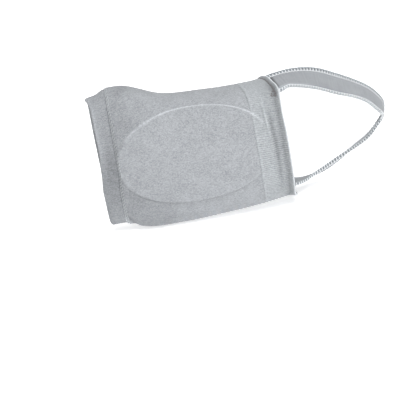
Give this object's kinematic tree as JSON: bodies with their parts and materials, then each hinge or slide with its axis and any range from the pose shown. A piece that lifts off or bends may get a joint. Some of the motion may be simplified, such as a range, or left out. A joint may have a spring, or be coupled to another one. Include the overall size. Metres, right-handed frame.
{
  "type": "arch support sleeve with heel strap",
  "caption": "Knitted elastic midfoot sleeve with a hemmed toe end, a ribbed cuff, an oval arch pad under the sole and an overlocked strap that loops behind the heel.",
  "frame": {"origin": "middle of the arch pad's foot side, where the arch of the foot sits", "axes": "+X from the toes to the heel along the outer edge of the foot, +Y from the sole to the instep, +Z to the big toe side"},
  "size_m": [0.1991, 0.0727, 0.0992],
  "materials": {
    "hem_knit": "doubled heathered grey knit",
    "sleeve_knit": "heathered light grey stretch knit",
    "rib_knit": "fine ribbed light grey knit",
    "pad_gel": "soft matt pale grey gel",
    "strap_elastic": "smooth grey elastic with pale overlocked edges"
  },
  "bodies": {
    "root": {"toe_hem": "hem_knit", "sleeve_body": "sleeve_knit", "rib_cuff": "rib_knit", "arch_pad": "pad_gel", "heel_strap": "strap_elastic"}
  },
  "joints": []
}
